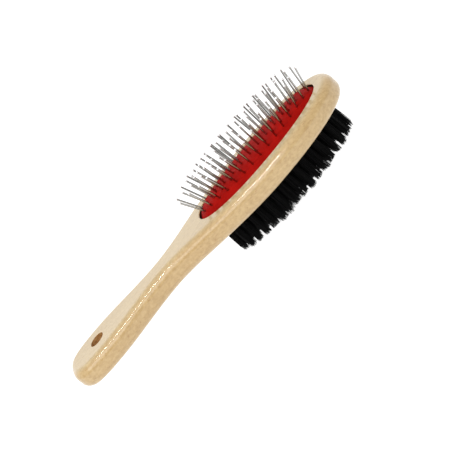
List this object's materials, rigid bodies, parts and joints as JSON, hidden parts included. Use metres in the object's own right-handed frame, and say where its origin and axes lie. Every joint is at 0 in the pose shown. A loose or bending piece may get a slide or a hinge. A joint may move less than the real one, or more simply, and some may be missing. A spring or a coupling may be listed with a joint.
{
  "type": "double-sided pet grooming brush",
  "caption": "Wooden pet brush with steel pins on an oval rubber air cushion on one face, black bristle tufts on the other, and a waisted handle with a hang hole.",
  "frame": {"origin": "on the plane of the bristle tips, below the middle of the brush's length", "axes": "+X along the handle towards the toe of the head, +Y across the head, +Z from the bristle tips towards the pins"},
  "size_m": [0.225, 0.062, 0.0532],
  "materials": {
    "wood": "clear-varnished beech, satin to gloss",
    "rubber": "red moulded rubber, satin",
    "pin_steel": "drawn steel wire with polished rounded tips",
    "bristle": "black nylon filament, slight sheen",
    "anchor_wire": "flat steel wire"
  },
  "bodies": {
    "body": {"wood_body": "wood", "tuft_bank_01": "bristle", "tuft_bank_02": "bristle", "tuft_bank_03": "bristle", "tuft_bank_04": "bristle", "tuft_bank_05": "bristle", "tuft_bank_06": "bristle", "tuft_bank_07": "bristle", "tuft_bank_08": "bristle", "tuft_bank_09": "bristle", "tuft_bank_10": "bristle", "tuft_bank_11": "bristle", "tuft_bank_12": "bristle", "tuft_bank_13": "bristle", "tuft_bank_14": "bristle", "tuft_bank_15": "bristle", "anchor_bank_01": "anchor_wire", "anchor_bank_02": "anchor_wire", "anchor_bank_03": "anchor_wire", "anchor_bank_04": "anchor_wire", "anchor_bank_05": "anchor_wire", "anchor_bank_06": "anchor_wire", "anchor_bank_07": "anchor_wire", "anchor_bank_08": "anchor_wire", "anchor_bank_09": "anchor_wire", "anchor_bank_10": "anchor_wire", "anchor_bank_11": "anchor_wire", "anchor_bank_12": "anchor_wire", "anchor_bank_13": "anchor_wire", "anchor_bank_14": "anchor_wire", "anchor_bank_15": "anchor_wire"},
    "cushion": {"cushion_pad": "rubber"},
    "pin_bank_01_pins": {"pin_bank_01": "pin_steel"},
    "pin_bank_02_pins": {"pin_bank_02": "pin_steel"},
    "pin_bank_03_pins": {"pin_bank_03": "pin_steel"},
    "pin_bank_04_pins": {"pin_bank_04": "pin_steel"},
    "pin_bank_05_pins": {"pin_bank_05": "pin_steel"},
    "pin_bank_06_pins": {"pin_bank_06": "pin_steel"},
    "pin_bank_07_pins": {"pin_bank_07": "pin_steel"},
    "pin_bank_08_pins": {"pin_bank_08": "pin_steel"},
    "pin_bank_09_pins": {"pin_bank_09": "pin_steel"},
    "pin_bank_10_pins": {"pin_bank_10": "pin_steel"},
    "pin_bank_11_pins": {"pin_bank_11": "pin_steel"},
    "pin_bank_12_pins": {"pin_bank_12": "pin_steel"},
    "pin_bank_13_pins": {"pin_bank_13": "pin_steel"},
    "pin_bank_14_pins": {"pin_bank_14": "pin_steel"}
  },
  "joints": [
    {"name": "cushion_press", "type": "slide", "parent": "body", "child": "cushion", "axis": [0, 0, -1], "range_m": [0, 0.0022], "stiffness_N_per_m": 3000, "deforming": ["cushion_pad"]},
    {"name": "pin_rock_01", "type": "hinge", "parent": "cushion", "child": "pin_bank_01_pins", "pos_m": [0.0071, 0, 0.03294], "axis": [0, 1, 0], "range_deg": [-8, 8], "stiffness_Nm_per_rad": 0.01},
    {"name": "pin_rock_02", "type": "hinge", "parent": "cushion", "child": "pin_bank_02_pins", "pos_m": [0.0141, 0, 0.03497], "axis": [0, 1, 0], "range_deg": [-8, 8], "stiffness_Nm_per_rad": 0.01},
    {"name": "pin_rock_03", "type": "hinge", "parent": "cushion", "child": "pin_bank_03_pins", "pos_m": [0.0211, 0, 0.03555], "axis": [0, 1, 0], "range_deg": [-8, 8], "stiffness_Nm_per_rad": 0.01},
    {"name": "pin_rock_04", "type": "hinge", "parent": "cushion", "child": "pin_bank_04_pins", "pos_m": [0.0281, 0, 0.03568], "axis": [0, 1, 0], "range_deg": [-8, 8], "stiffness_Nm_per_rad": 0.01},
    {"name": "pin_rock_05", "type": "hinge", "parent": "cushion", "child": "pin_bank_05_pins", "pos_m": [0.0351, 0, 0.0357], "axis": [0, 1, 0], "range_deg": [-8, 8], "stiffness_Nm_per_rad": 0.01},
    {"name": "pin_rock_06", "type": "hinge", "parent": "cushion", "child": "pin_bank_06_pins", "pos_m": [0.0421, 0, 0.0357], "axis": [0, 1, 0], "range_deg": [-8, 8], "stiffness_Nm_per_rad": 0.01},
    {"name": "pin_rock_07", "type": "hinge", "parent": "cushion", "child": "pin_bank_07_pins", "pos_m": [0.0491, 0, 0.0357], "axis": [0, 1, 0], "range_deg": [-8, 8], "stiffness_Nm_per_rad": 0.01},
    {"name": "pin_rock_08", "type": "hinge", "parent": "cushion", "child": "pin_bank_08_pins", "pos_m": [0.0561, 0, 0.0357], "axis": [0, 1, 0], "range_deg": [-8, 8], "stiffness_Nm_per_rad": 0.01},
    {"name": "pin_rock_09", "type": "hinge", "parent": "cushion", "child": "pin_bank_09_pins", "pos_m": [0.0631, 0, 0.0357], "axis": [0, 1, 0], "range_deg": [-8, 8], "stiffness_Nm_per_rad": 0.01},
    {"name": "pin_rock_10", "type": "hinge", "parent": "cushion", "child": "pin_bank_10_pins", "pos_m": [0.0701, 0, 0.0357], "axis": [0, 1, 0], "range_deg": [-8, 8], "stiffness_Nm_per_rad": 0.01},
    {"name": "pin_rock_11", "type": "hinge", "parent": "cushion", "child": "pin_bank_11_pins", "pos_m": [0.0771, 0, 0.03568], "axis": [0, 1, 0], "range_deg": [-8, 8], "stiffness_Nm_per_rad": 0.01},
    {"name": "pin_rock_12", "type": "hinge", "parent": "cushion", "child": "pin_bank_12_pins", "pos_m": [0.0841, 0, 0.03555], "axis": [0, 1, 0], "range_deg": [-8, 8], "stiffness_Nm_per_rad": 0.01},
    {"name": "pin_rock_13", "type": "hinge", "parent": "cushion", "child": "pin_bank_13_pins", "pos_m": [0.0911, 0, 0.03497], "axis": [0, 1, 0], "range_deg": [-8, 8], "stiffness_Nm_per_rad": 0.01},
    {"name": "pin_rock_14", "type": "hinge", "parent": "cushion", "child": "pin_bank_14_pins", "pos_m": [0.0981, 0, 0.03294], "axis": [0, 1, 0], "range_deg": [-8, 8], "stiffness_Nm_per_rad": 0.01}
  ]
}
